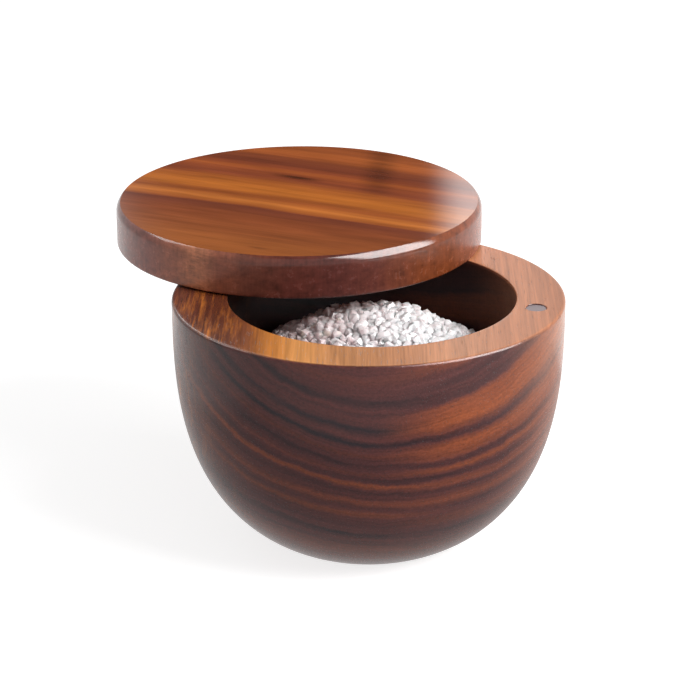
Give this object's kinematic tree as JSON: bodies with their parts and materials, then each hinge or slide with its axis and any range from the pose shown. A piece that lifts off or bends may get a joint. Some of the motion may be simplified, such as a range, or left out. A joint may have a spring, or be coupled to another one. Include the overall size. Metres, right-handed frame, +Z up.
{
  "type": "salt box with swivel lid",
  "caption": "Round turned wooden bowl for salt with a wide flat rim and a thick disc lid that swings aside on an upright pin; small disc magnets hold it shut.",
  "frame": {"origin": "centre of the bowl's flat base, on the surface that it stands on", "axes": "+Z up along the bowl's axis; +X from the lid's pivot, across the bowl, to the magnet in the rim"},
  "size_m": [0.142, 0.1547, 0.0849],
  "materials": {
    "bowl_wood": "dark oiled wood with near-black growth lines, satin",
    "lid_wood": "lacquered wood with golden and brown bands, semi-gloss",
    "pin_steel": "plain turned steel",
    "bush_brass": "plain turned brass",
    "washer_plastic": "black nylon, matte",
    "magnet_plating": "dull grey nickel plating",
    "salt": "coarse white crystals"
  },
  "bodies": {
    "bowl": {"bowl": "bowl_wood", "pivot_pin": "pin_steel", "spacer_washer": "washer_plastic", "rim_magnet": "magnet_plating", "salt_fill": "salt"},
    "lid": {"lid": "lid_wood", "lid_bush": "bush_brass", "lid_magnet": "magnet_plating"}
  },
  "joints": [
    {"name": "lid_swivel", "type": "hinge", "parent": "bowl", "child": "lid", "pos_m": [-0.0465, 0, 0.0724], "axis": [0, 0, 1], "range_deg": [-70.8, 289.2]}
  ]
}
